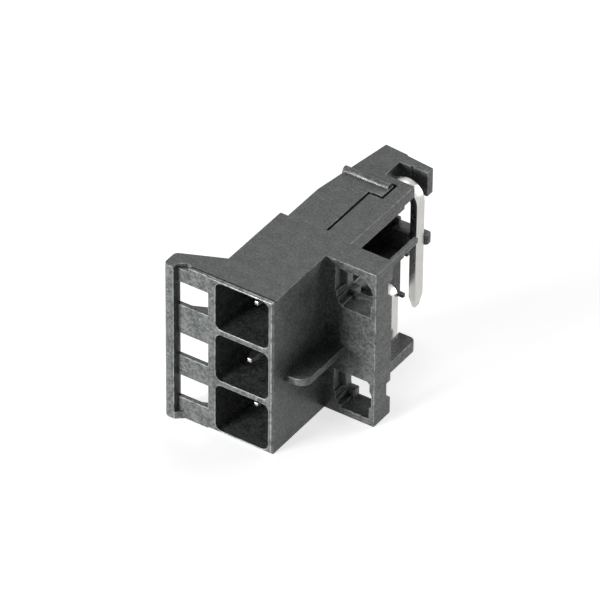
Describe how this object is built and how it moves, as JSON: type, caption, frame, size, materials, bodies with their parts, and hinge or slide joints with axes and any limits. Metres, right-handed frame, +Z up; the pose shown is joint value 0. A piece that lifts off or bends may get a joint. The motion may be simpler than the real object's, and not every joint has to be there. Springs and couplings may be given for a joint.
{
  "type": "pcb plug connector",
  "caption": "Right-angle pin header in a tall narrow moulding with a latch flap, a board flange, a snap arm and bent solder tails.",
  "frame": {"origin": "bottom centre of the whole part's bounding box", "axes": "+X to the right along the mating face, +Y back from the mating face towards the solder tails, +Z up along the pole column"},
  "size_m": [0.0146, 0.0228, 0.0154],
  "materials": {
    "housing_plastic": "glass-filled, fine speckle",
    "tinned_contact": "bright tin plate"
  },
  "bodies": {
    "root": {"housing": "housing_plastic", "contact_top": "tinned_contact", "contact_middle": "tinned_contact", "contact_bottom": "tinned_contact"}
  },
  "joints": []
}
